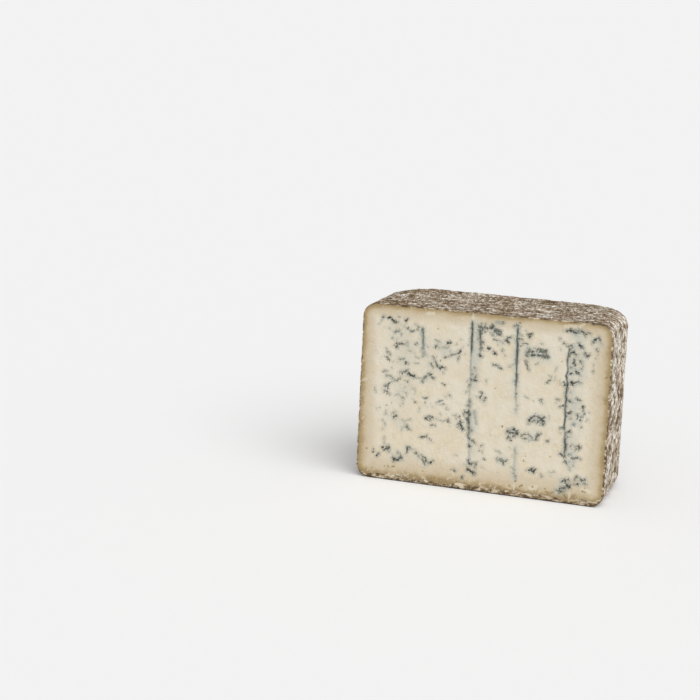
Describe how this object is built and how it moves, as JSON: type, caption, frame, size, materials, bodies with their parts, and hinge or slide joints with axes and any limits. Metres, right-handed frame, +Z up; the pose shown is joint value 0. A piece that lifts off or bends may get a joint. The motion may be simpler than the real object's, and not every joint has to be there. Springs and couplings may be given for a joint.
{
  "type": "cheese wedge",
  "caption": "End slab of a square natural-rind blue cheese, cut flat on one side, with blue-green mould veins, needle tracks and mat furrows on the rind.",
  "frame": {"origin": "middle of the slab's footprint, on the flat underside it stands on", "axes": "+X along the cut face to its right, +Y from the cut face to the back of the rind, +Z up"},
  "size_m": [0.1846, 0.084, 0.131],
  "materials": {
    "blue_cheese": "moist ivory paste with blue-green mould on the cut face, dry grey-brown mould rind on every other face"
  },
  "bodies": {
    "root": {"cheese_wedge": "blue_cheese"}
  },
  "joints": []
}
